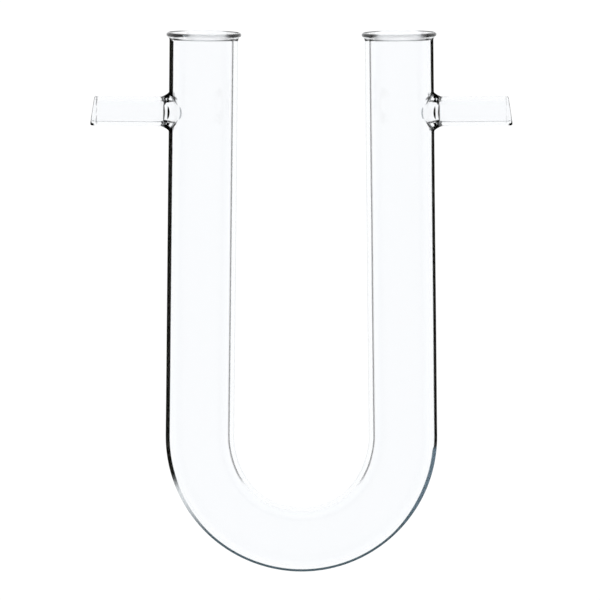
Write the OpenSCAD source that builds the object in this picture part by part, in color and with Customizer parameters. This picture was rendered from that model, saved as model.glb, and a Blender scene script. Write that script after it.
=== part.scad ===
// Drying tube: a U of clear glass tubing with a short side arm fused to each leg.
// It lies flat as it comes to rest, on its two lips and the bottom of its bend.
// +Y runs along the legs to the mouths, +X across them, +Z up. Millimetres.

/* [U tube] */
// Length from the mouths to the bottom of the bend
tube_height = 150; // [120:1:200]
// Outer radius of the main tubing
leg_r = 9.5; // [8:0.1:12]
// Wall of the main tubing
leg_wall = 1.2; // [0.9:0.05:1.6]
// Radius of the bend, to the middle of the tubing
bend_r = 28.2; // [22:0.1:40]
// Lean of each leg towards the other, in degrees
toe_in = 0.6; // [0:0.1:1]

/* [Mouths] */
// Radius of the arc in which the wall turns out, to the middle of the wall
lip_bend_r = 1.9; // [1.5:0.1:3]
// How far the wall turns out, in degrees
lip_turn = 58; // [35:1:75]

/* [Side arms] */
// Outer radius of a side arm
arm_r = 4.1; // [3.5:0.1:5]
// Wall of a side arm
arm_wall = 1.1; // [0.8:0.05:1.4]
// Distance from the mouth down to the middle of a side arm
arm_drop = 22; // [16:0.5:40]
// How far a side arm stands out from its leg
arm_len = 21.2; // [14:0.1:40]
// Slant of a side arm's cut end, in degrees
arm_slant = 8; // [0:1:12]

/* [Seals] */
// How far the glass swells round a side arm where it is fused on
seal_out = 2.2; // [1.6:0.1:2.7]
// Wall of the swell round the blown hole
seal_wall = 1.1; // [0.8:0.05:1.4]
// Height of the swell's edge above the leg
seal_lift = 0.15; // [0.1:0.05:0.4]

/* [Hidden] */
$fn = 96;

bore_r = leg_r - leg_wall;
arm_bore_r = arm_r - arm_wall;

// Each half of the bend turns past the middle, where it is cut off to meet the other half.
bend_turn = 95;
// A leg starts at the bend's end, which the toe-in lifts above the bend's centre.
mouth_y = tube_height - bend_r - leg_r;
leg_len = (mouth_y - bend_r * sin(toe_in)) / cos(toe_in);
arm_at = leg_len - arm_drop;

// The wall turns outwards in an arc, and its edge is melted round.
lip_edge_r = leg_wall / 2;
lip_out = lip_bend_r * (1 - cos(lip_turn));
lip_h = lip_bend_r * sin(lip_turn) + lip_edge_r;
straight_len = leg_len - lip_h;

// The seal: the swell outside, and the trumpet that the blown hole makes inside.
seal_r = arm_r + seal_out;
hole_r = seal_r - seal_wall;
hole_round_r = hole_r - arm_bore_r;
swell_x = leg_r + seal_lift;
trumpet_x = bore_r - seal_lift;
arm_tip_x = leg_r + arm_len;
spare = 4 * arm_r;

// Tilt and height that bring both lips and the bend down onto z = 0.
lie_tilt = asin(lip_out / (mouth_y - lip_edge_r + bend_r));
lie_z = leg_r + bend_r * sin(lie_tilt);
middle_y = tube_height / 2 - bend_r - leg_r;

glass = [0.86, 0.92, 0.95, 0.5];

// Wall of one leg with its lip, beside the leg's axis.
module leg_section() {
    translate([bore_r, 0]) square([leg_wall, straight_len]);
    translate([leg_r - lip_edge_r + lip_bend_r, straight_len]) {
        intersection() {
            difference() {
                circle(lip_bend_r + lip_edge_r);
                circle(lip_bend_r - lip_edge_r);
            }
            lip_wedge(2 * (lip_bend_r + leg_wall));
        }
        rotate(-lip_turn) translate([-lip_bend_r, 0]) circle(lip_edge_r);
    }
}

// The slice of the ring through which the lip turns.
module lip_wedge(reach) {
    polygon([[0, 0], [-reach, 0], [-reach * cos(lip_turn), reach * sin(lip_turn)]]);
}

// A side arm and its swell, filled to the arm's axis, which is drawn along +X.
module arm_section() {
    square([arm_tip_x + arm_r, arm_r]);
    difference() {
        square([swell_x + seal_out, seal_r]);
        translate([swell_x + seal_out, seal_r]) circle(seal_out);
    }
}

// The hollow through a side arm, widening to the blown hole.
module arm_hollow_section() {
    square([arm_tip_x + spare, arm_bore_r]);
    difference() {
        square([trumpet_x + hole_round_r, hole_r]);
        translate([trumpet_x + hole_round_r, hole_r]) circle(hole_round_r);
    }
}

// Turns a section about its own X axis, at the side arm's place on the leg.
module turn_arm() {
    translate([0, 0, arm_at]) rotate([0, 90, 0]) rotate_extrude() rotate(90) mirror([0, 1]) children();
}

module arm() {
    difference() {
        turn_arm() arm_section();
        cylinder(r = bore_r, h = straight_len);
        translate([arm_tip_x, 0, arm_at]) rotate([0, -arm_slant, 0])
            translate([0, -spare / 2, -spare / 2]) cube(spare);
    }
}

// One leg, its axis up +Z from the bend and its side arm on +X.
module leg() {
    difference() {
        union() {
            rotate_extrude() leg_section();
            arm();
        }
        turn_arm() arm_hollow_section();
    }
}

// A quarter of the bend and a little more, up to the leg's start on +X.
module half_bend() {
    rotate_extrude(angle = bend_turn, start = 360 - bend_turn) translate([bend_r, 0]) difference() {
        circle(leg_r);
        circle(bore_r);
    }
}

// The half of the U on the side of +X, cut off square at the middle of the bend.
module half_u() {
    reach = 2 * tube_height;
    difference() {
        rotate(toe_in) {
            half_bend();
            translate([bend_r, 0, 0]) rotate([-90, 0, 0]) leg();
        }
        translate([-reach, -reach / 2, -reach / 2]) cube(reach);
    }
}

module u_tube() {
    color(glass)
    translate([0, -middle_y, lie_z]) rotate([lie_tilt, 0, 0]) {
        half_u();
        mirror([1, 0, 0]) half_u();
    }
}

u_tube();
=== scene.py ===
"""Drying tube: a U of clear glass tubing with a short side arm on each leg.

The tube lies flat on a pale table, on its two lips and the bottom of its bend.
+Y runs along the legs to the mouths, +X across them, +Z up. Metres throughout.
"""

from __future__ import annotations

import logging
import math
from dataclasses import dataclass, field
from enum import Enum
from typing import Callable, NamedTuple

import bmesh
import bpy
from mathutils import Matrix, Vector, noise

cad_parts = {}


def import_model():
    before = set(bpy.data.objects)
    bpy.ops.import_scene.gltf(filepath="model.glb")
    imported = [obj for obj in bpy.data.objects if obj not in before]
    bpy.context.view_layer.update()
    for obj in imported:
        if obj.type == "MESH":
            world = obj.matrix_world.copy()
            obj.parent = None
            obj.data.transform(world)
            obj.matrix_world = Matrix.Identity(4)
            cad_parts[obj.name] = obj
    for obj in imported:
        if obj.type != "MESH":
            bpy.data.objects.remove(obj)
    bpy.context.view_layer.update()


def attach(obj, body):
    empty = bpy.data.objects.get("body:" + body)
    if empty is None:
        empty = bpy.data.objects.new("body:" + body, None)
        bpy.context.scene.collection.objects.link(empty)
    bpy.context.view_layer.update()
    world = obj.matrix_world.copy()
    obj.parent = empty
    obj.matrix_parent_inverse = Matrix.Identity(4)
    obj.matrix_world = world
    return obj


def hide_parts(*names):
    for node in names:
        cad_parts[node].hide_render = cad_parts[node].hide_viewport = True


log = logging.getLogger("drying_tube")

MM = 0.001
RGB = tuple[float, float, float]

# the two ends of a fade, or the middle and the half width of a bump
Span = tuple[float, float]

# a point is on a side arm if it is nearer to the arm's axis than this, and farther from
# the leg's axis
SWELL_ZONE = 6.6 * MM


def blend(low: float, high: float, at: float) -> float:
    """Smooth step of `at` from 0 at `low` to 1 at `high`."""
    t = min(max((at - low) / (high - low), 0.0), 1.0)
    return t * t * (3 - 2 * t)


def hat(middle: float, half: float, at: float) -> float:
    """Smooth bump that is 1 at `middle` and 0 from `half` away on either side."""
    return 1 - blend(0.0, half, abs(at - middle))


def mixed(one: RGB, other: RGB, share: float) -> RGB:
    """Colour that is `share` of the way from `one` to `other`."""
    return tuple(a + (b - a) * share for a, b in zip(one, other))


def mixed_value(one: float, other: float, share: float) -> float:
    """Number that is `share` of the way from `one` to `other`."""
    return one + (other - one) * share


class Ring(NamedTuple):
    """One ring of a leg: its place along the leg and its radius."""

    along: float
    radius: float


class Skin(Enum):
    """The two faces of the glass wall, by material slot."""

    OUTSIDE = 0
    BORE = 1

    @property
    def painted_shade_name(self) -> str:
        """Name of the mesh attribute that holds this face's painted edge shade colour."""
        return f"painted_edge_shade_{self.name.lower()}"

    @property
    def start_name(self) -> str:
        """Name of the mesh attribute that says where this face's painted edge shade starts."""
        return f"edge_start_{self.name.lower()}"


@dataclass(frozen=True)
class TubeSizes:
    """Sizes of the glassware, as the solid model has them."""

    height: float = 150 * MM
    leg_r: float = 9.5 * MM
    leg_wall: float = 1.2 * MM
    bend_r: float = 28.2 * MM
    toe_in: float = math.radians(0.6)
    lip_bend_r: float = 1.9 * MM
    lip_turn: float = math.radians(58)
    arm_r: float = 4.1 * MM
    arm_wall: float = 1.1 * MM
    arm_drop: float = 22 * MM
    arm_len: float = 21.2 * MM
    arm_slant: float = math.radians(8)
    seal_out: float = 2.2 * MM
    seal_wall: float = 1.1 * MM
    seal_lift: float = 0.15 * MM
    swell_spare: float = 0.1 * MM
    swell_flat: float = 0.8 * MM
    hole_flat: float = 1.1 * MM
    bend_flat: float = 1.0 * MM

    @property
    def bore_r(self) -> float:
        """Inner radius of the main tubing."""
        return self.leg_r - self.leg_wall

    @property
    def arm_bore_r(self) -> float:
        """Inner radius of a side arm."""
        return self.arm_r - self.arm_wall

    @property
    def mouth_y(self) -> float:
        """Height of the mouths above the bend's centre."""
        return self.height - self.bend_r - self.leg_r

    @property
    def leg_len(self) -> float:
        """Length of a leg from the bend's end to its mouth."""
        return (self.mouth_y - self.bend_r * math.sin(self.toe_in)) / math.cos(self.toe_in)

    @property
    def edge_r(self) -> float:
        """Radius of the melted edge of a lip."""
        return self.leg_wall / 2

    @property
    def straight_len(self) -> float:
        """Length of a leg up to where its lip turns out."""
        return self.leg_len - self.lip_bend_r * math.sin(self.lip_turn) - self.edge_r

    @property
    def arm_at(self) -> float:
        """Place of the side arm along its leg."""
        return self.leg_len - self.arm_drop

    @property
    def arm_tip(self) -> float:
        """Distance of a side arm's tip from the leg's axis."""
        return self.leg_r + self.arm_len

    @property
    def swell_r(self) -> float:
        """Radius of the swell where a side arm is fused on."""
        return self.arm_r + self.seal_out

    @property
    def hole_r(self) -> float:
        """Radius of the blown hole in the leg."""
        return self.swell_r - self.seal_wall

    @property
    def lie_tilt(self) -> float:
        """Turn that brings both lips and the bend down onto the table."""
        lip_out = self.lip_bend_r * (1 - math.cos(self.lip_turn))
        return math.asin(lip_out / (self.mouth_y - self.edge_r + self.bend_r))

    @property
    def lie_z(self) -> float:
        """Height of the bend's centre above the table."""
        return self.leg_r + self.bend_r * math.sin(self.lie_tilt)

    @property
    def middle_y(self) -> float:
        """Distance from the bend's centre to the middle of the whole height."""
        return self.height / 2 - self.bend_r - self.leg_r


@dataclass(frozen=True)
class Place:
    """Where a point of the wall is, in its own leg's, bend's or arm's terms.

    `turn` is the angle round the bend, `outward` and `up` are shares of the distance from
    the tubing's axis, `radius` is that distance, and `along` runs up the leg. `arm_x` and
    `arm_rho` are distances from the leg's and from the arm's axis, `arm_up` is the share of
    the latter towards the mouth, and `hole` is 1 on the blown hole's edge.
    """

    side: int
    turn: float
    outward: float
    up: float
    radius: float
    along: float
    arm_x: float
    arm_rho: float
    arm_up: float
    hole: float

    @property
    def arm_near(self) -> float:
        """How far the point is on the upper side of the arm as it lies, -1 to 1."""
        return math.copysign(math.sqrt(max(1 - self.arm_up**2, 0.0)), self.up)

    @property
    def on_arm(self) -> bool:
        """Whether the point is on a side arm or its swell."""
        return self.arm_rho < SWELL_ZONE < self.arm_x


@dataclass
class TubeShell:
    """The whole glass wall as one closed skin, grown ring by ring."""

    sizes: TubeSizes
    name: str = "u_tube_glass"
    segments: int = 96
    hole_cells: int = 12
    spread_cells: int = 20
    row: float = 0.56 * MM
    bend_steps: int = 44
    low_rows: int = 26
    high_rows: int = 5
    flare_steps: int = 8
    edge_steps: int = 12
    swell_steps: int = 9
    arm_rows: int = 6
    tip_rows: int = 10
    tip_row: float = 0.3 * MM
    ring_gap: float = 0.6
    swell_pull: float = 0.34
    trumpet_pull: float = 0.6
    trumpet_depth: float = 1.6 * MM
    arm_pull: float = 0.7
    same: float = 0.01 * MM
    weld: float = 0.004 * MM
    mirror_weld: float = 0.003 * MM
    mirror_snap: float = 0.002 * MM
    draw_in: Span = (0.15, 1.2)
    waver_scale: float = 38
    waver_depth: float = 0.035 * MM
    piece: bpy.types.Object | None = field(default=None, init=False)

    def build(self) -> bpy.types.Object:
        """Makes the tube's glass wall.

        Returns:
            The finished piece, at the origin, with its place in its mesh.
        """
        self._start_ring()
        self._grow_leg()
        self._spin_bend()
        self._open_holes()
        self._grow_arm()
        bpy.ops.object.mode_set(mode="OBJECT")
        self._finish_half()
        return self.piece

    # the leg and the bend

    def _start_ring(self) -> None:
        """Adds the leg's lowest outer ring and goes into edit mode."""
        bpy.ops.object.select_all(action="DESELECT")
        bpy.ops.mesh.primitive_circle_add(
            vertices=self.segments,
            radius=self.sizes.leg_r,
            location=(self.sizes.bend_r, 0, 0),
            rotation=(math.pi / 2, 0, 0),
        )
        self.piece = bpy.context.object
        self.piece.name = self.piece.data.name = self.name
        bpy.ops.object.transform_apply(location=True, rotation=True, scale=True)
        bpy.ops.object.mode_set(mode="EDIT")
        bpy.ops.mesh.select_mode(type="VERT")
        bpy.ops.mesh.select_all(action="SELECT")

    def _rows(self) -> list[float]:
        """Spaces the rings along the straight leg, close together at the arm.

        Returns:
            Their places along the leg, from its foot up.
        """
        s = self.sizes
        near = [s.arm_at + n * self.row for n in range(-self.spread_cells, self.spread_cells + 1)]
        low = [near[0] * n / self.low_rows for n in range(self.low_rows)]
        left = s.straight_len - near[-1]
        high = [near[-1] + left * n / self.high_rows for n in range(1, self.high_rows + 1)]
        return low + near + high

    def _leg_rings(self) -> list[Ring]:
        """Lists the leg's rings.

        Returns:
            Rings from the foot up the outside, round the lip and down the bore.
        """
        s = self.sizes
        rows = self._rows()
        centre = s.leg_r - s.edge_r + s.lip_bend_r

        def flare(radius: float, turn: float) -> Ring:
            """Ring of the flare, at `turn` and `radius` from the middle of its curve."""
            return Ring(s.straight_len + radius * math.sin(turn), centre - radius * math.cos(turn))

        rings = [Ring(y, s.leg_r) for y in rows]
        arc = [s.lip_turn * n / self.flare_steps for n in range(1, self.flare_steps + 1)]
        rings += [flare(s.lip_bend_r - s.edge_r, a) for a in arc]
        mid = flare(s.lip_bend_r, s.lip_turn)
        for n in range(1, self.edge_steps):
            a = -s.lip_turn + math.pi * n / self.edge_steps
            along, radius = mid.along + s.edge_r * math.sin(a), mid.radius + s.edge_r * math.cos(a)
            rings.append(Ring(along, radius))
        rings += [flare(s.lip_bend_r + s.edge_r, a) for a in reversed([0.0] + arc)]
        rings += [Ring(y, s.bore_r) for y in reversed(rows[:-1])]
        return rings

    def _grow_leg(self) -> None:
        """Extrudes the start ring along the leg, round the lip and back down the bore."""
        s = self.sizes
        rings = self._leg_rings()
        for last, ring in zip(rings, rings[1:]):
            step = (0, ring.along - last.along, 0)
            bpy.ops.mesh.extrude_region_move(TRANSFORM_OT_translate={"value": step})
            k = ring.radius / last.radius
            if abs(k - 1) > 1e-9:
                bpy.ops.transform.resize(value=(k, 1, k), center_override=(s.bend_r, ring.along, 0))

    def _select(self, test: Callable[[bmesh.types.BMVert], bool]) -> int:
        """Selects just the vertices that pass `test`.

        Args:
            test: Says whether a vertex is wanted.

        Returns:
            How many were selected.
        """
        bpy.ops.mesh.select_all(action="DESELECT")
        mesh = bmesh.from_edit_mesh(self.piece.data)
        count = 0
        for v in mesh.verts:
            if test(v):
                v.select = True
                count += 1
        mesh.select_flush_mode()
        bmesh.update_edit_mesh(self.piece.data)
        return count

    def _spin_bend(self) -> None:
        """Spins the outer and the bore ring at the leg's foot through half the bend."""
        found = self._select(lambda v: abs(v.co.y) < 1e-7)
        log.info("bend starts from %d vertices", found)
        bpy.ops.mesh.spin(
            steps=self.bend_steps,
            dupli=False,
            angle=math.pi / 2 + self.sizes.toe_in,
            center=(0, 0, 0),
            axis=(0, 0, 1),
        )

    # the blown hole and the side arm

    def _cell(self, v: bmesh.types.BMVert) -> tuple[int, int] | None:
        """Finds a vertex in the grid round the side arm.

        Args:
            v: The vertex.

        Returns:
            Its column and row from the middle of the arm, or None if it isn't in the grid.
        """
        s = self.sizes
        x, y, z = v.co.x - s.bend_r, v.co.y - s.arm_at, v.co.z
        r = math.hypot(x, z)
        if min(abs(r - s.leg_r), abs(r - s.bore_r)) > self.same or v.co.y < s.arm_at / 2:
            return None
        column = round(math.atan2(z, x) / (2 * math.pi / self.segments))
        row = round(y / self.row)
        if max(abs(column), abs(row)) > self.spread_cells or abs(y - row * self.row) > self.same:
            return None
        return column, row

    def _open_holes(self) -> None:
        """Cuts a round hole for the side arm through both faces of the leg's wall."""
        s = self.sizes
        cells = self.hole_cells
        mesh = bmesh.from_edit_mesh(self.piece.data)
        places = {v: self._cell(v) for v in mesh.verts}
        bpy.ops.mesh.select_all(action="DESELECT")
        for v, cell in places.items():
            if cell is None:
                continue
            ring = max(abs(cell[0]), abs(cell[1]))
            if ring < cells:
                v.select = True
                continue
            share = blend(cells, self.spread_cells, ring)
            v.co = self._eased(v, cell, ring, share)
        mesh.select_flush_mode()
        bmesh.update_edit_mesh(self.piece.data)
        bpy.ops.mesh.delete(type="VERT")

    def _eased(
        self, v: bmesh.types.BMVert, cell: tuple[int, int], ring: int, share: float
    ) -> Vector:
        """Place on the leg's surface of a vertex that is eased from the grid to a circle.

        Args:
            v: The vertex, on either face of the wall.
            cell: Its column and row from the middle of the arm.
            ring: The larger of the two, without sign.
            share: 0 on the circle, 1 on the grid.

        Returns:
            Its new place.
        """
        s = self.sizes
        column, row = cell
        if column == ring:
            step = row
        elif row == ring:
            step = 2 * ring - column
        elif column == -ring:
            step = 4 * ring - row
        else:
            step = 6 * ring + column
        turn = math.pi * step / (4 * ring)
        outside = math.hypot(v.co.x - s.bend_r, v.co.z) > s.leg_r - s.edge_r
        wall_r = s.leg_r if outside else s.bore_r
        rho = self._border_r(outside, turn) + (ring - self.hole_cells) * self.row * self.ring_gap
        y = rho * math.sin(turn) * (1 - share) + (v.co.y - s.arm_at) * share
        z = rho * math.cos(turn) * (1 - share) + v.co.z * share
        return Vector((s.bend_r + math.sqrt(wall_r**2 - z**2), s.arm_at + y, z))

    def _border_r(self, outside: bool, turn: float) -> float:
        """Works out where the swell or the blown hole starts to leave the leg's wall.

        Args:
            outside: True for the swell, False for the blown hole.
            turn: Angle about the arm's axis, from +Z towards +Y.

        Returns:
            Its distance from the arm's axis, on an ellipse.
        """
        s = self.sizes
        if outside:
            wide, high = s.swell_r + s.swell_spare, s.swell_r - s.swell_flat
        else:
            wide, high = s.hole_r, s.hole_r - s.hole_flat
        return 1 / math.hypot(math.cos(turn) / wide, math.sin(turn) / high)

    def _swell(self, outside: bool, turn: float, part: float) -> tuple[float, float]:
        """Point of the smooth blend between the leg's wall and the side arm.

        Args:
            outside: True for the swell, False for the trumpet inside it.
            turn: Angle about the arm's axis, from +Z towards +Y.
            part: 0 at the leg's wall, 1 where the straight arm starts.

        Returns:
            Distance from the leg's axis, and from the arm's axis.
        """
        s = self.sizes
        wall_r, end_r = (s.leg_r, s.arm_r) if outside else (s.bore_r, s.arm_bore_r)
        start_r = self._border_r(outside, turn)
        across = start_r * math.cos(turn)
        x0 = math.sqrt(wall_r**2 - across**2)
        x1 = wall_r + (s.seal_lift if outside else -s.seal_lift) + s.seal_out
        slope = Vector((start_r * math.cos(turn) ** 2 / x0, -1)).normalized()
        a, d = Vector((x0, start_r)), Vector((x1, end_r))
        pull = self.swell_pull if outside else self.trumpet_pull
        b = a + slope * pull * (start_r - end_r)
        c = d - Vector((pull * self.arm_pull * (x1 - x0), 0))
        t, u = part, 1 - part
        p = a * u**3 + b * 3 * u**2 * t + c * 3 * u * t**2 + d * t**3
        return p.x, p.y

    def _carry_arm(self, place: Callable[[float], tuple[float, float]]) -> None:
        """Extrudes the arm's open ring and sets the new ring's place.

        Args:
            place: Gives, for an angle about the arm's axis, the distances from the leg's
                and from the arm's axis.
        """
        s = self.sizes
        bpy.ops.mesh.extrude_region_move()
        mesh = bmesh.from_edit_mesh(self.piece.data)
        for v in mesh.verts:
            if v.select:
                turn = math.atan2(v.co.y - s.arm_at, v.co.z)
                x, rho = place(turn)
                v.co = Vector((s.bend_r + x, s.arm_at + rho * math.sin(turn), rho * math.cos(turn)))
        bmesh.update_edit_mesh(self.piece.data)

    def _select_border(self) -> None:
        """Selects the open edge loop of the hole in the leg's outer face."""
        s = self.sizes
        bpy.ops.mesh.select_all(action="DESELECT")
        bpy.ops.mesh.select_mode(type="EDGE")
        mesh = bmesh.from_edit_mesh(self.piece.data)
        for e in mesh.edges:
            mid = (e.verts[0].co + e.verts[1].co) / 2
            outer = math.hypot(mid.x - s.bend_r, mid.z) > s.leg_r - s.edge_r
            if e.is_boundary and outer and mid.y > s.arm_at / 2:
                e.select = True
        mesh.select_flush_mode()
        bmesh.update_edit_mesh(self.piece.data)

    def _grow_arm(self) -> None:
        """Draws the side arm out of the hole, rounds its end and goes back down its bore."""
        s = self.sizes
        self._select_border()
        steps = self.swell_steps
        for n in range(1, steps + 1):
            self._carry_arm(lambda turn, n=n: self._swell(True, turn, n / steps))
        edge_r = s.arm_wall / 2
        slant = math.tan(s.arm_slant)
        out_x = s.leg_r + s.seal_lift + s.seal_out
        in_x = s.bore_r - s.seal_lift + s.seal_out

        def tip(turn: float, rho: float) -> float:
            """Where the round of the slanted end starts."""
            return s.arm_tip - edge_r - slant * rho * math.sin(turn)

        fine = self.tip_row * self.tip_rows
        reach = s.arm_tip - out_x - fine
        backs = [fine + reach * n / self.arm_rows for n in range(self.arm_rows - 1, 0, -1)]
        backs += [self.tip_row * n for n in range(self.tip_rows, -1, -1)]
        for back in backs:
            self._carry_arm(lambda turn, back=back: (tip(turn, s.arm_r) - back, s.arm_r))
        for n in range(1, self.edge_steps):
            a = math.pi * n / self.edge_steps
            rho = s.arm_r - edge_r + edge_r * math.cos(a)
            self._carry_arm(lambda turn, a=a, rho=rho: (tip(turn, rho) + edge_r * math.sin(a), rho))
        for back in reversed(backs):
            self._carry_arm(lambda turn, back=back: (tip(turn, s.arm_bore_r) - back, s.arm_bore_r))
        self._carry_arm(lambda turn: (in_x, s.arm_bore_r))
        for n in range(steps - 1, -1, -1):
            self._carry_arm(lambda turn, n=n: self._swell(False, turn, n / steps))
        bpy.ops.mesh.select_mode(type="VERT")
        bpy.ops.mesh.select_all(action="SELECT")
        bpy.ops.mesh.remove_doubles(threshold=self.weld)

    # both sides together

    def _finish_half(self) -> None:
        """Leans the leg in, mirrors it, eases the bend and lays the whole tube down."""
        s = self.sizes
        mesh = self.piece.data
        mesh.transform(Matrix.Rotation(s.toe_in, 4, "Z"))
        for v in mesh.vertices:
            if abs(v.co.x) < self.mirror_snap:
                v.co.x = 0.0
        mirror = self.piece.modifiers.new("other_side", "MIRROR")
        mirror.use_axis = (True, False, False)
        mirror.use_clip = True
        mirror.merge_threshold = self.mirror_weld
        bpy.context.view_layer.objects.active = self.piece
        bpy.ops.object.modifier_apply(modifier=mirror.name)
        bpy.ops.object.mode_set(mode="EDIT")
        bpy.ops.mesh.select_all(action="SELECT")
        bpy.ops.mesh.normals_make_consistent(inside=False)
        bpy.ops.object.mode_set(mode="OBJECT")
        bpy.ops.object.shade_smooth()
        self._mark_faces()
        # paints the shade along the glass edges onto the mesh, as colour
        PaintedEdgeShade(s).paint(mesh, self.place_of)
        self._ease_bend()
        self._waver()
        lay_down = Matrix.Rotation(s.lie_tilt, 4, "X")
        mesh.transform(Matrix.Translation((0, -s.middle_y, s.lie_z)) @ lay_down)
        mesh.update()

    def _straightened(self, co: Vector, side: int) -> Vector:
        """A point or direction of the tube as if its leg were the right one and upright."""
        return Matrix.Rotation(-self.sizes.toe_in, 3, "Z") @ Vector((co.x * side, co.y, co.z))

    def place_of(self, co: Vector) -> Place:
        """Says where a point of the standing tube is, in its own leg's or bend's terms.

        Args:
            co: The point, with the bend's centre at the origin.

        Returns:
            Its place.
        """
        s = self.sizes
        side = 1 if co.x >= 0 else -1
        p = self._straightened(co, side)
        if p.y >= 0:
            turn, off = 0.0, p.x - s.bend_r
        else:
            turn, off = math.atan2(-p.y, p.x), math.hypot(p.x, p.y) - s.bend_r
        r = max(math.hypot(off, p.z), 1e-9)
        rise = p.y - s.arm_at
        rho = math.hypot(rise, p.z)
        # away from the arms, a place is behind the leg's axis and far from the hole
        arm_x = p.x - s.bend_r if p.y > s.arm_at / 2 else -1.0
        hole = rho / self._border_r(False, math.atan2(rise, p.z)) if arm_x > 0 else 9.0
        return Place(side, turn, off / r, p.z / r, r, p.y, arm_x, rho, rise / max(rho, 1e-9), hole)

    def _mark_faces(self) -> None:
        """Gives each face its material slot, by the side of the wall that it is on."""
        s = self.sizes
        for f in self.piece.data.polygons:
            place = self.place_of(f.center)
            n = self._straightened(f.normal, place.side)
            if place.on_arm and place.arm_x > s.bore_r - self.trumpet_depth:
                q = self._straightened(f.center, place.side)
                away = n.y * (q.y - s.arm_at) + n.z * q.z
                on_leg = abs(math.hypot(q.x - s.bend_r, q.z) - s.leg_r) < 2 * self.same
                f.material_index = (Skin.OUTSIDE if away > 0 or on_leg else Skin.BORE).value
                continue
            out = Vector((math.cos(place.turn), -math.sin(place.turn), 0)) * place.outward
            out.z = place.up
            f.material_index = (Skin.OUTSIDE if n.dot(out) > 0 else Skin.BORE).value

    def _ease_bend(self) -> None:
        """Draws in the inner side of the bend, where bent tubing goes slightly oval."""
        s = self.sizes
        for v in self.piece.data.vertices:
            place = self.place_of(v.co)
            if place.turn <= 0 or place.outward >= 0:
                continue
            share = blend(*self.draw_in, place.turn) * place.outward**2
            out = Vector((place.side * math.cos(place.turn), -math.sin(place.turn), 0))
            v.co += out * s.bend_flat * share

    def _waver(self) -> None:
        """Gives the drawn glass its slight unevenness, the same on both faces of the wall."""
        for v in self.piece.data.vertices:
            v.co += noise.noise_vector(v.co * self.waver_scale) * self.waver_depth


@dataclass(frozen=True)
class LegEdge:
    """What differs between the painted dark edges of the left and the right half, which were lit
    differently.

    The black line ends at `black_end` degrees round the bend, and the line after it is
    paler by `paleness`. The starts say where these two begin to show, and the depths how
    dark the ring by the arm's tip and the outer side of the mouth are.
    """

    black_end: float
    paleness: float
    black_start: float
    soft_start: float
    ring_depth: float
    mouth_depth: float
    polish_early: float


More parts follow.
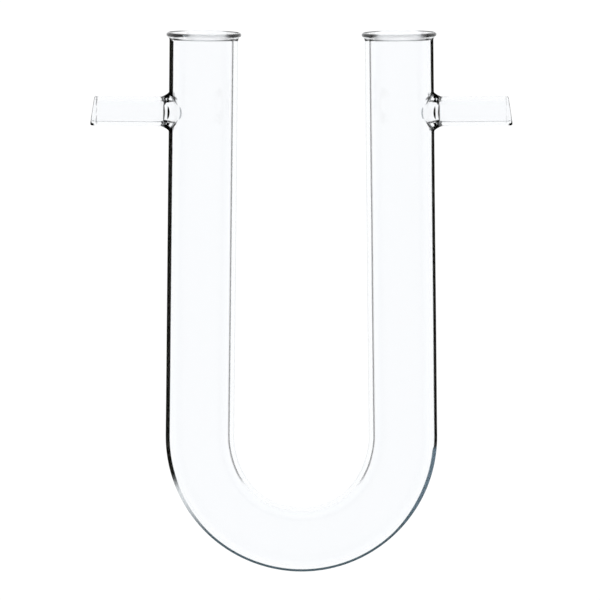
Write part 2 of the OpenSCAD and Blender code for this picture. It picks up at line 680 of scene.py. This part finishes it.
@dataclass(frozen=True)
class PaintedEdgeShade:
    """Painted shade along the glass wall's edges: how dark they look, place by place.

    Each rule gives an edge colour and where it starts to show: 0 is where the wall is seen
    square on, 1 where it is seen along its face. A start well below 0 shows from all sides.
    """

    sizes: TubeSizes
    # colours of the painted shade along the edges; clear is the glass away from them
    painted_black: RGB = (0.013, 0.013, 0.011)
    steel: RGB = (0.115, 0.165, 0.205)
    mist: RGB = (0.80, 0.82, 0.83)
    grey: RGB = (0.30, 0.33, 0.35)
    haze: RGB = (0.42, 0.47, 0.50)
    deep: RGB = (0.075, 0.11, 0.13)
    clear: RGB = (0.97, 0.975, 0.98)
    # the two halves get different painted shade, as the light fell differently on each side
    left: LegEdge = LegEdge(
        black_end=21,
        paleness=0.85,
        black_start=0.475,
        soft_start=0.52,
        ring_depth=0.8,
        mouth_depth=1.0,
        polish_early=0.25,
    )
    right: LegEdge = LegEdge(
        black_end=5,
        paleness=0.02,
        black_start=0.56,
        soft_start=0.47,
        ring_depth=0.25,
        mouth_depth=0.5,
        polish_early=0.0,
    )
    usual_start: float = 0.74
    all_sides: float = -0.5

    # the legs and the bend; angles round the bend in degrees, black_fade in black_end's
    outer_side: Span = (0.74, 0.9)
    broad_side: Span = (0.25, 0.75)
    bore_side: Span = (0.74, 0.88)
    black_fade: Span = (0.8, 1.2)
    deep_from: Span = (24, 50)
    inner_clear: Span = (30, 60)
    bore_clear: Span = (30, 44)
    leg_start: float = 0.78
    deep_start: float = 0.6
    bore_start: float = 0.84
    bore_line_start: float = 0.61

    # the side arms and their seals; places are distances from the leg's axis
    swell_gain: float = 0.32
    swell_fade: Span = (10.4 * MM, 12.2 * MM)
    upper_side: Span = (-0.1, 0.3)
    tip_back: Span = (0.9 * MM, 0.3 * MM)
    ring_back: float = 1.2 * MM
    ring_half: float = 0.32 * MM
    ring_foot: Span = (-0.95, -0.7)
    ring_ends: Span = (-0.2, 0.8)
    ring_least: float = 0.4
    # painted shade lines round each seal, standing in for shade seen through the bent glass
    seal_shade_lines: tuple[Span, ...] = ((9.3 * MM, 0.75 * MM), (10.75 * MM, 0.45 * MM))
    seal_line_ends: Span = (0.75, 0.95)
    seal_line_depth: float = 0.9
    trumpet_edge: float = 1.02
    trumpet_start: float = 0.8
    trumpet_gain: float = 0.16
    trumpet_dark_start: float = 0.4
    trumpet_fade: Span = (9.6 * MM, 11.4 * MM)
    trumpet_low: Span = (0.2, 0.8)
    bore_tip_back: Span = (0.7 * MM, 0.2 * MM)
    rim: Span = (1.13, 0.1)
    rim_lower: Span = (-0.15, 0.05)
    rim_ends: Span = (0.8, 0.97)
    rim_blackening: Span = (0.3, 0.9)

    # the lips
    lip_over: float = 0.1 * MM
    lip_ends: Span = (0.8, 0.97)
    lip_root: float = 0.6 * MM
    lip_gain: float = 0.2
    fold: Span = (0.5 * MM, 0.34 * MM)
    fold_upper: Span = (0.0, 0.3)
    fold_blackening: Span = (0.2, 0.9)
    brim_half: float = 0.36 * MM
    brim_lower: Span = (0.02, 0.2)
    brim_ends: Span = (0.4, 0.75)
    mouth_root: Span = (0.2 * MM, 0.8 * MM)
    mouth_ends: Span = (0.8, 0.95)
    mouth_outer: Span = (0.45, 0.85)
    mouth_dark_start: float = 0.3
    flare_rough: float = 0.5 * MM
    polish_ends: Span = (0.55, 0.85)

    def paint(self, mesh: bpy.types.Mesh, place_of: Callable[[Vector], Place]) -> None:
        """Stores the painted edge shade, the polish and the dark edge's start on the mesh.

        Args:
            mesh: The tube's mesh, still standing with the bend's centre at the origin.
            place_of: Says where a point is.
        """
        places = [place_of(v.co) for v in mesh.vertices]
        clean = [self.polish(at) for at in places]
        for skin in Skin:
            rule = self.outside if skin is Skin.OUTSIDE else self.bore
            marks = [rule(at) for at in places]
            shade_and_polish = mesh.attributes.new(skin.painted_shade_name, "FLOAT_COLOR", "POINT")
            values = [c for (colour, _), share in zip(marks, clean) for c in (*colour, share)]
            shade_and_polish.data.foreach_set("color", values)
            start = mesh.attributes.new(skin.start_name, "FLOAT", "POINT")
            start.data.foreach_set("value", [begin for _, begin in marks])

    def _half(self, at: Place) -> LegEdge:
        """What holds for the half of the tube that the place is on."""
        return self.left if at.side < 0 else self.right

    def _on_lip(self, at: Place) -> bool:
        """Whether the place is past the straight part of its leg."""
        return at.along > self.sizes.straight_len + self.lip_over

    def polish(self, at: Place) -> float:
        """Says how clear the surface is.

        Args:
            at: The place.

        Returns:
            1 nearly everywhere, and less where a lip was flared.
        """
        lip = blend(0.0, self.flare_rough, at.along - self.sizes.straight_len)
        early = self._half(at).polish_early if at.outward > 0 else 0.0
        low, high = self.polish_ends
        return 1 - lip * (1 - blend(low - early, high - early, abs(at.outward)))

    def outside(self, at: Place) -> tuple[RGB, float]:
        """Paints the shade on the outer face.

        Args:
            at: The place.

        Returns:
            Its edge colour, and where the dark edge starts.
        """
        if at.on_arm and at.arm_x > self.sizes.leg_r:
            return self.arm(at)
        if self._on_lip(at):
            return self.lip(at)
        half = self._half(at)
        turned = math.degrees(at.turn)
        # a painted black band down the outer side of each leg, paler round the bend
        outer = blend(*self.outer_side, at.outward)
        inner = blend(*self.broad_side, -at.outward)
        fade = blend(*(half.black_end * share for share in self.black_fade), turned)
        far = blend(*self.deep_from, turned)
        line = mixed(mixed(self.steel, self.mist, half.paleness), self.deep, far)
        colour = mixed(self.haze, mixed(self.painted_black, line, fade), outer)
        within = mixed(self.mist, self.clear, blend(*self.inner_clear, turned))
        soft_start = mixed_value(half.soft_start, self.deep_start, far)
        dark_start = mixed_value(half.black_start, soft_start, fade)
        return mixed(colour, within, inner), mixed_value(self.leg_start, dark_start, outer)

    def arm(self, at: Place) -> tuple[RGB, float]:
        """Paints the shade on the outer face of a side arm and its swell.

        Args:
            at: The place.

        Returns:
            Its edge colour, and where the dark edge starts.
        """
        tip_x = self.sizes.arm_tip
        near = blend(*self.upper_side, at.arm_near)
        swell = 1 - blend(*self.swell_fade, at.arm_x)
        tip = blend(*(tip_x - back for back in self.tip_back), at.arm_x)
        # a painted shade ring near the arm's tip
        ring = hat(tip_x - self.ring_back, self.ring_half, at.arm_x)
        ring *= near * blend(*self.ring_foot, at.arm_up)
        ends = blend(*self.ring_ends, abs(at.arm_up))
        depth = self._half(at).ring_depth * mixed_value(self.ring_least, 1.0, ends)
        # the painted shade lines round the seal
        seal_line = max(hat(*seal_line, at.arm_x) for seal_line in self.seal_shade_lines) * near
        seal_line *= 1 - blend(*self.seal_line_ends, abs(at.arm_up))
        dark = max(swell, tip)
        colour = mixed(self.clear, self.painted_black, max(dark, ring * depth, seal_line * self.seal_line_depth))
        start = self.usual_start - self.swell_gain * dark
        return colour, mixed_value(start, self.all_sides, max(ring, seal_line))

    def lip(self, at: Place) -> tuple[RGB, float]:
        """Paints the shade on the outer face of a lip, darkest where it leaves the leg.

        Args:
            at: The place.

        Returns:
            Its edge colour, and where the dark edge starts.
        """
        s = self.sizes
        side = abs(at.outward)
        root = 1 - blend(s.leg_r, s.leg_r + self.lip_root, at.radius)
        ends = blend(*self.lip_ends, side) * root
        brim = self.brim(at)
        # a painted shade line where the lip turns out from the leg
        past, half = self.fold
        fold = hat(s.straight_len + past, half, at.along) * blend(*self.fold_upper, at.up)
        fold *= (1 - ends) * (1 - brim)
        line = mixed(mixed(self.mist, self.grey, 0.5), self.painted_black, blend(*self.fold_blackening, side))
        colour = mixed(mixed(self.clear, self.painted_black, max(ends, brim)), line, fold)
        start = self.usual_start - self.lip_gain * ends
        return colour, mixed_value(start, self.all_sides, max(fold, brim))

    def brim(self, at: Place) -> float:
        """Says how dark the painted shade on the very edge of a lip is.

        Args:
            at: The place.

        Returns:
            1 on the edge's lower side towards both ends, 0 away from it.
        """
        edge = hat(self.sizes.leg_len, self.brim_half, at.along)
        return edge * blend(*self.brim_lower, -at.up) * blend(*self.brim_ends, abs(at.outward))

    def bore(self, at: Place) -> tuple[RGB, float]:
        """Paints the shade on the bore of a leg or of the bend.

        Args:
            at: The place.

        Returns:
            Its edge colour, and where the dark edge starts.
        """
        if at.on_arm and at.hole < self.trumpet_edge:
            return self.trumpet(at)
        if self._on_lip(at):
            return self.mouth(at)
        inner = blend(*self.bore_side, -at.outward)
        outer = blend(*self.broad_side, at.outward)
        line = mixed(self.painted_black, self.clear, blend(*self.bore_clear, math.degrees(at.turn)))
        colour = mixed(mixed(self.haze, line, inner), self.clear, outer)
        # a painted shade line round the blown hole
        rim = hat(*self.rim, at.hole) * blend(*self.rim_lower, at.up)
        rim *= 1 - blend(*self.rim_ends, abs(at.arm_up))
        shade = mixed(self.grey, self.painted_black, blend(*self.rim_blackening, abs(at.arm_up)))
        start = mixed_value(self.bore_start, self.bore_line_start, inner)
        return mixed(colour, shade, rim), mixed_value(start, self.all_sides, rim)

    def trumpet(self, at: Place) -> tuple[RGB, float]:
        """Paints the shade on the bore of a side arm and the trumpet inside its swell.

        Args:
            at: The place.

        Returns:
            Its edge colour, and where the dark edge starts.
        """
        swell = 1 - blend(*self.trumpet_fade, at.arm_x)
        low = blend(*self.trumpet_low, -at.arm_up)
        tip = blend(*(self.sizes.arm_tip - back for back in self.bore_tip_back), at.arm_x) * low
        dark = max(swell, tip)
        colour = mixed(mixed(self.clear, self.grey, low), self.painted_black, dark)
        start = self.trumpet_start - self.trumpet_gain * low
        return colour, mixed_value(start, self.trumpet_dark_start, dark)

    def mouth(self, at: Place) -> tuple[RGB, float]:
        """Paints the shade on the inside of a lip.

        Args:
            at: The place.

        Returns:
            Its edge colour, and where the dark edge starts.
        """
        root = 1 - blend(*(self.sizes.bore_r + past for past in self.mouth_root), at.radius)
        ends = blend(*self.mouth_ends, abs(at.outward)) * root
        outer = blend(*self.mouth_outer, at.outward) * root * self._half(at).mouth_depth
        brim = self.brim(at)
        dark = max(ends, outer, brim)
        start = min(
            mixed_value(self.usual_start, self.mouth_dark_start, dark),
            mixed_value(self.usual_start, self.all_sides, brim),
        )
        return mixed(self.clear, self.painted_black, dark), start


@dataclass(frozen=True)
class GlassFinish:
    """Clear laboratory glass with painted shade: darker where it is seen along its wall."""

    name: str
    skin: Skin
    clear: RGB
    width: float
    ior: float = 1.473
    dull: float = 0.8
    dull_spread: float = 0.012
    streak_scale: float = 55
    streak_detail: float = 3
    streak_stretch: tuple[float, float, float] = (1.0, 0.14, 1.0)
    streak_span: Span = (0.35, 0.75)
    streak_shade: float = 0.992
    ripple: float = 0.03
    ripple_depth: float = 0.2 * MM

    def material(self) -> bpy.types.Material:
        """Makes the material.

        Returns:
            A glass whose colour falls to the painted edge shade at a glancing view.
        """
        mat = bpy.data.materials.new(self.name)
        mat.use_nodes = True
        tree = mat.node_tree
        tree.nodes.clear()
        new, link = tree.nodes.new, tree.links.new
        out = new("ShaderNodeOutputMaterial")
        glass = new("ShaderNodeBsdfGlass")
        glass.distribution = "MULTI_GGX"
        glass.inputs["IOR"].default_value = self.ior
        link(glass.outputs["BSDF"], out.inputs["Surface"])
        streaks = self._streaks(tree)
        shade_and_polish = new("ShaderNodeAttribute")
        shade_and_polish.attribute_name = self.skin.painted_shade_name
        link(self._colour(tree, streaks, shade_and_polish), glass.inputs["Color"])
        link(self._roughness(tree, streaks, shade_and_polish), glass.inputs["Roughness"])
        link(self._ripple(tree, streaks), glass.inputs["Normal"])
        return mat

    def _streaks(self, tree: bpy.types.NodeTree) -> bpy.types.NodeSocket:
        """Makes the faint streaks of drawn tubing, along the legs.

        Args:
            tree: The material's nodes.

        Returns:
            The socket that gives their strength.
        """
        new, link = tree.nodes.new, tree.links.new
        where = new("ShaderNodeTexCoord")
        drawn = new("ShaderNodeMapping")
        drawn.inputs["Scale"].default_value = self.streak_stretch
        streaks = new("ShaderNodeTexNoise")
        streaks.inputs["Scale"].default_value = self.streak_scale
        streaks.inputs["Detail"].default_value = self.streak_detail
        link(where.outputs["Object"], drawn.inputs["Vector"])
        link(drawn.outputs["Vector"], streaks.inputs["Vector"])
        return streaks.outputs["Fac"]

    def _edge(self, tree: bpy.types.NodeTree) -> bpy.types.NodeSocket:
        """Finds how far the view is along the wall, past where the painted dark edge starts.

        Args:
            tree: The material's nodes.

        Returns:
            The socket that is 0 in the clear and 1 in the dark edge.
        """
        new, link = tree.nodes.new, tree.links.new
        seen = new("ShaderNodeLayerWeight")
        seen.inputs["Blend"].default_value = 0.5
        start = new("ShaderNodeAttribute")
        start.attribute_name = self.skin.start_name
        end = new("ShaderNodeMath")
        end.operation = "ADD"
        end.inputs[1].default_value = self.width
        link(start.outputs["Fac"], end.inputs[0])
        edge = new("ShaderNodeMapRange")
        edge.interpolation_type = "SMOOTHSTEP"
        link(seen.outputs["Facing"], edge.inputs["Value"])
        link(start.outputs["Fac"], edge.inputs["From Min"])
        link(end.outputs["Value"], edge.inputs["From Max"])
        return edge.outputs["Result"]

    def _colour(
        self, tree: bpy.types.NodeTree, streaks: bpy.types.NodeSocket, shade_and_polish: bpy.types.Node
    ) -> bpy.types.NodeSocket:
        """Mixes the clear glass with the painted edge shade colour.

        Args:
            tree: The material's nodes.
            streaks: Strength of the streaks.
            shade_and_polish: The stored edge colour.

        Returns:
            The socket that gives the glass its colour.
        """
        new, link = tree.nodes.new, tree.links.new
        body = new("ShaderNodeMix")
        body.data_type = "RGBA"
        body.inputs["A"].default_value = (*self.clear, 1)
        body.inputs["B"].default_value = (*(c * self.streak_shade for c in self.clear), 1)
        link(streaks, body.inputs["Factor"])
        colour = new("ShaderNodeMix")
        colour.data_type = "RGBA"
        link(self._edge(tree), colour.inputs["Factor"])
        link(body.outputs["Result"], colour.inputs["A"])
        link(shade_and_polish.outputs["Color"], colour.inputs["B"])
        return colour.outputs["Result"]

    def _roughness(
        self, tree: bpy.types.NodeTree, streaks: bpy.types.NodeSocket, shade_and_polish: bpy.types.Node
    ) -> bpy.types.NodeSocket:
        """Takes the polish off the dullest glass.

        Args:
            tree: The material's nodes.
            streaks: Strength of the streaks.
            shade_and_polish: The stored edge colour, with the polish in its alpha.

        Returns:
            The socket that gives the glass its roughness.
        """
        new, link = tree.nodes.new, tree.links.new
        rough = new("ShaderNodeMapRange")
        rough.inputs["From Min"].default_value = self.streak_span[0]
        rough.inputs["From Max"].default_value = self.streak_span[1]
        rough.inputs["To Min"].default_value = self.dull
        rough.inputs["To Max"].default_value = self.dull + self.dull_spread
        link(streaks, rough.inputs["Value"])
        polish = new("ShaderNodeMath")
        polish.operation = "MULTIPLY_ADD"
        polish.inputs[1].default_value = -self.dull
        link(shade_and_polish.outputs["Alpha"], polish.inputs[0])
        link(rough.outputs["Result"], polish.inputs[2])
        return polish.outputs["Value"]

    def _ripple(
        self, tree: bpy.types.NodeTree, streaks: bpy.types.NodeSocket
    ) -> bpy.types.NodeSocket:
        """Ripples the surface along the streaks.

        Args:
            tree: The material's nodes.
            streaks: Strength of the streaks.

        Returns:
            The socket that gives the glass its normal.
        """
        bump = tree.nodes.new("ShaderNodeBump")
        bump.inputs["Strength"].default_value = self.ripple
        bump.inputs["Distance"].default_value = self.ripple_depth
        tree.links.new(streaks, bump.inputs["Height"])
        return bump.outputs["Normal"]


@dataclass
class DryingTube:
    """The whole product: one piece of glass."""

    sizes: TubeSizes

    def build(self) -> bpy.types.Object:
        """Builds the glass and ties it to the solid that it stands for.

        Returns:
            The finished piece.
        """
        piece = TubeShell(self.sizes).build()
        outside = GlassFinish("clear_glass_outside", Skin.OUTSIDE, (0.988, 0.992, 0.997), 0.07)
        bore = GlassFinish("clear_glass_bore", Skin.BORE, (0.99, 0.993, 0.997), 0.14)
        for finish in (outside, bore):
            piece.data.materials.append(finish.material())
        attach(piece, "root")
        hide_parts("u_tube")
        piece.visible_shadow = piece.visible_diffuse = False
        triangles = sum(len(f.vertices) - 2 for f in piece.data.polygons)
        log.info("%s: %d triangles", piece.name, triangles)
        return piece


@dataclass(frozen=True)
class Studio:
    """Pale table, soft light from above, and the camera."""

    floor_r: float = 25.0
    floor_sides: int = 96
    floor_colour: RGB = (0.9, 0.9, 0.9)
    floor_roughness: float = 0.9
    camera_distance: float = 4.0
    camera_range: Span = (0.05, 100)
    lens: float = 865
    tip: float = math.radians(4.3)
    aim: tuple[float, float, float] = (-0.0004, 0.00064, 0.0097)
    light_size: float = 8.0
    light_energy: float = 165
    light_height: float = 6.5
    brightness: float = 0.9
    room_low: RGB = (0.72, 0.75, 0.77)
    room_high: RGB = (1, 1, 1)
    room_span: Span = (0.02, 0.38)
    glass_bounces: int = 40
    glossy_bounces: int = 24
    transparent_bounces: int = 16

    def build(self) -> None:
        """Makes the table, the lights, the surroundings and the camera."""
        self._camera()
        self._floor()
        self._lights()
        self._surroundings()
        self._exposure()

    def _camera(self) -> None:
        """Sets the camera over the tube, leaning a little towards the mouths."""
        data = bpy.data.cameras.new("camera")
        data.lens = self.lens
        data.clip_start, data.clip_end = self.camera_range
        cam = bpy.data.objects.new("camera", data)
        bpy.context.scene.collection.objects.link(cam)
        back = Vector((0, math.sin(self.tip), math.cos(self.tip)))
        cam.location = Vector(self.aim) + back * self.camera_distance
        cam.rotation_euler = (-self.tip, 0, 0)
        bpy.context.scene.camera = cam

    def _floor(self) -> None:
        """Lays a wide, round, pale table."""
        bpy.ops.object.select_all(action="DESELECT")
        bpy.ops.mesh.primitive_circle_add(
            vertices=self.floor_sides, radius=self.floor_r, fill_type="NGON", location=(0, 0, 0)
        )
        floor = bpy.context.object
        floor.name = "table"
        mat = bpy.data.materials.new("pale_table")
        mat.use_nodes = True
        shader = mat.node_tree.nodes["Principled BSDF"]
        shader.inputs["Base Color"].default_value = (*self.floor_colour, 1)
        shader.inputs["Roughness"].default_value = self.floor_roughness
        shader.inputs["Specular IOR Level"].default_value = 0.0
        floor.data.materials.append(mat)

    def _lights(self) -> None:
        """Hangs one large soft light over the table."""
        data = bpy.data.lights.new("overhead", "AREA")
        data.shape = "SQUARE"
        data.size = self.light_size
        data.energy = self.light_energy
        light = bpy.data.objects.new("overhead", data)
        light.location = (0, 0, self.light_height)
        light.visible_glossy = light.visible_transmission = False
        bpy.context.scene.collection.objects.link(light)

    def _surroundings(self) -> None:
        """Gives an even white room, a little darker low down for what the glass shows."""
        world = bpy.data.worlds.new("room")
        bpy.context.scene.world = world
        world.use_nodes = True
        tree = world.node_tree
        tree.nodes.clear()
        new, link = tree.nodes.new, tree.links.new
        out = new("ShaderNodeOutputWorld")
        where = new("ShaderNodeTexCoord")
        split = new("ShaderNodeSeparateXYZ")
        link(where.outputs["Generated"], split.inputs["Vector"])
        height = new("ShaderNodeValToRGB")
        ramp = height.color_ramp
        ramp.interpolation = "EASE"
        colours = (self.room_low, self.room_high)
        for stop, position, colour in zip(ramp.elements, self.room_span, colours):
            stop.position, stop.color = position, (*colour, 1)
        link(split.outputs["Z"], height.inputs["Fac"])
        room = new("ShaderNodeBackground")
        room.inputs["Strength"].default_value = self.brightness
        link(height.outputs["Color"], room.inputs["Color"])
        white = new("ShaderNodeBackground")
        white.inputs["Strength"].default_value = self.brightness
        white.inputs["Color"].default_value = (*self.room_high, 1)
        path = new("ShaderNodeLightPath")
        seen = new("ShaderNodeMixShader")
        link(path.outputs["Is Camera Ray"], seen.inputs["Fac"])
        link(room.outputs["Background"], seen.inputs[1])
        link(white.outputs["Background"], seen.inputs[2])
        link(seen.outputs["Shader"], out.inputs["Surface"])

    def _exposure(self) -> None:
        """Sets plain colour and enough bounces for light to cross several walls."""
        scene = bpy.context.scene
        scene.view_settings.view_transform = "Standard"
        scene.view_settings.look = "None"
        scene.view_settings.exposure = 0
        scene.cycles.max_bounces = scene.cycles.transmission_bounces = self.glass_bounces
        scene.cycles.glossy_bounces = self.glossy_bounces
        scene.cycles.transparent_max_bounces = self.transparent_bounces


def main() -> None:
    """Builds the scene in order."""
    logging.basicConfig(level=logging.INFO, format="%(name)s: %(message)s")
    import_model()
    Studio().build()
    piece = DryingTube(TubeSizes()).build()
    log.info("built %s", piece.name)


if __name__ == "__main__":
    main()
